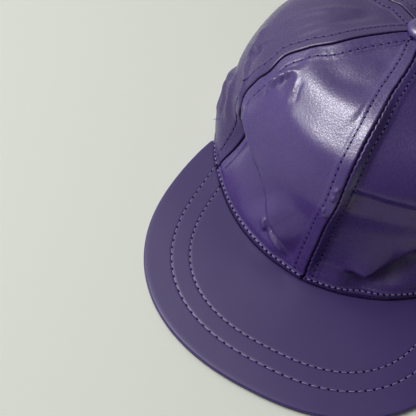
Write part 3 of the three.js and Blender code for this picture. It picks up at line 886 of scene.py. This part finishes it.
def add_button():
    bpy.ops.object.select_all(action="DESELECT")
    bpy.ops.mesh.primitive_uv_sphere_add(segments=76, ring_count=36, radius=1)
    piece = bpy.context.object
    piece.name = "leather_button"
    ball = mesh_places(piece)
    around = np.arctan2(ball[:, 1], ball[:, 0])
    across, level = np.hypot(ball[:, 0], ball[:, 1]), ball[:, 2]
    gather = BUTTON_GATHER_DEEP * np.cos(BUTTON_GATHERS * around) * smooth(1 - np.abs(level) / GATHERS_END)
    dome = BUTTON_FOOT + BUTTON_EDGE + (BUTTON_TOP - BUTTON_FOOT - BUTTON_EDGE) * np.maximum(level, 0)
    under = BUTTON_FOOT + BUTTON_EDGE * (1 - smooth(-level / UNDER_FLAT))
    shank = level < -SHANK_FROM
    shank_wide = BUTTON_SHANK * np.minimum(across / SHANK_ACROSS, 1)
    shank_up = BUTTON_SHANK_END + SHANK_LONG * smooth((-SHANK_FROM - level) / (SHANK_FROM - 1) + 1)
    wide = np.where(shank, shank_wide, BUTTON_RADIUS * across**BUTTON_FULL + gather)
    neck = np.maximum(wide * (1 - NECK_IN * smooth(-level - NECK_FROM)), BUTTON_SHANK)
    wide = np.where(~shank & (level < 0), neck, wide)
    x = wide * np.cos(around) + BUTTON_OFF
    y = wide * np.sin(around) + APEX_BEHIND_MIDDLE + MIDDLE_AHEAD - BUTTON_AHEAD
    z = np.where(level >= 0, dome, np.where(shank, shank_up, under))
    move_mesh(piece, np.stack((x, y, z), -1) * MM)
    finish_piece(piece, "button", "button_leather", button_leather)


add_button()

# The floor and the light.
# A plain pale floor, one large soft light high on the left, a fill from the front left, and a room that is
# brighter on the left.

FLOOR_SIDE = 6

bpy.ops.object.select_all(action="DESELECT")
bpy.ops.mesh.primitive_plane_add(size=FLOOR_SIDE)
floor = bpy.context.object
floor.name = "pale_floor"

# Matt painted board: a pale, slightly green grey without a gleam.
material, tree, shader = new_material("matt_pale_board")
shader.inputs["Base Color"].default_value = srgb("#d8dbd1")
shader.inputs["Roughness"].default_value = 0.85
floor.data.materials.append(material)

# Where each light stands, how far away in m, its side in m and its power in W. The gleam and the core only
# show in the lacquer: they make the highlight as bright as the photo's, and brightest in the middle.
SOFTBOX_TOWARDS, SOFTBOX_AWAY, SOFTBOX_SIDE = Vector((-0.48, -0.08, 0.87)), 1.3, 0.9
SOFTBOX_POWER, GLEAM_POWER = 7.5, 13
CORE_TOWARDS, CORE_SIDE, CORE_POWER = Vector((-0.42, -0.04, 0.91)), 0.42, 9
FILL_TOWARDS, FILL_AWAY, FILL_SIDE, FILL_POWER = Vector((-0.8, -0.5, 0.35)), 1.6, 1.2, 14

# The room's light by how far a direction points to the right.
ROOM_DIM_AT, ROOM_DIM = 0.2, 0.1
ROOM_BRIGHT_AT, ROOM_BRIGHT = -0.5, 0.7
ROOM_COLOUR = (1.0, 1.0, 0.97, 1.0)


def add_soft_light(name, towards, away, side, power):
    bpy.ops.object.light_add(type="AREA", location=towards.normalized() * away)
    light = bpy.context.object
    light.name = name
    light.rotation_euler = towards.to_track_quat("Z", "Y").to_euler()
    light.data.shape, light.data.size, light.data.energy = "SQUARE", side, power


add_soft_light("softbox", SOFTBOX_TOWARDS, SOFTBOX_AWAY, SOFTBOX_SIDE, SOFTBOX_POWER)
add_soft_light("softbox_gleam", SOFTBOX_TOWARDS, SOFTBOX_AWAY, SOFTBOX_SIDE, GLEAM_POWER)
bpy.context.object.visible_diffuse = False
add_soft_light("softbox_core", CORE_TOWARDS, SOFTBOX_AWAY, CORE_SIDE, CORE_POWER)
bpy.context.object.visible_diffuse = False
add_soft_light("front_fill", FILL_TOWARDS, FILL_AWAY, FILL_SIDE, FILL_POWER)
bpy.context.object.visible_glossy = False

world = bpy.data.worlds.new("soft_room")
world.use_nodes = True
tree, background = world.node_tree, world.node_tree.nodes["Background"]
direction = node(tree, "ShaderNodeTexCoord").outputs["Generated"]
rightward = node(tree, "ShaderNodeSeparateXYZ", {}, {"Vector": direction}).outputs["X"]
brightness = node(tree, "ShaderNodeMapRange",
                  {"interpolation_type": "SMOOTHSTEP", "From Min": ROOM_DIM_AT, "From Max": ROOM_BRIGHT_AT,
                   "To Min": ROOM_DIM, "To Max": ROOM_BRIGHT}, {"Value": rightward})
tree.links.new(brightness.outputs["Result"], background.inputs["Strength"])
background.inputs["Color"].default_value = ROOM_COLOUR
bpy.context.scene.world = world
bpy.context.scene.view_settings.view_transform = "Standard"
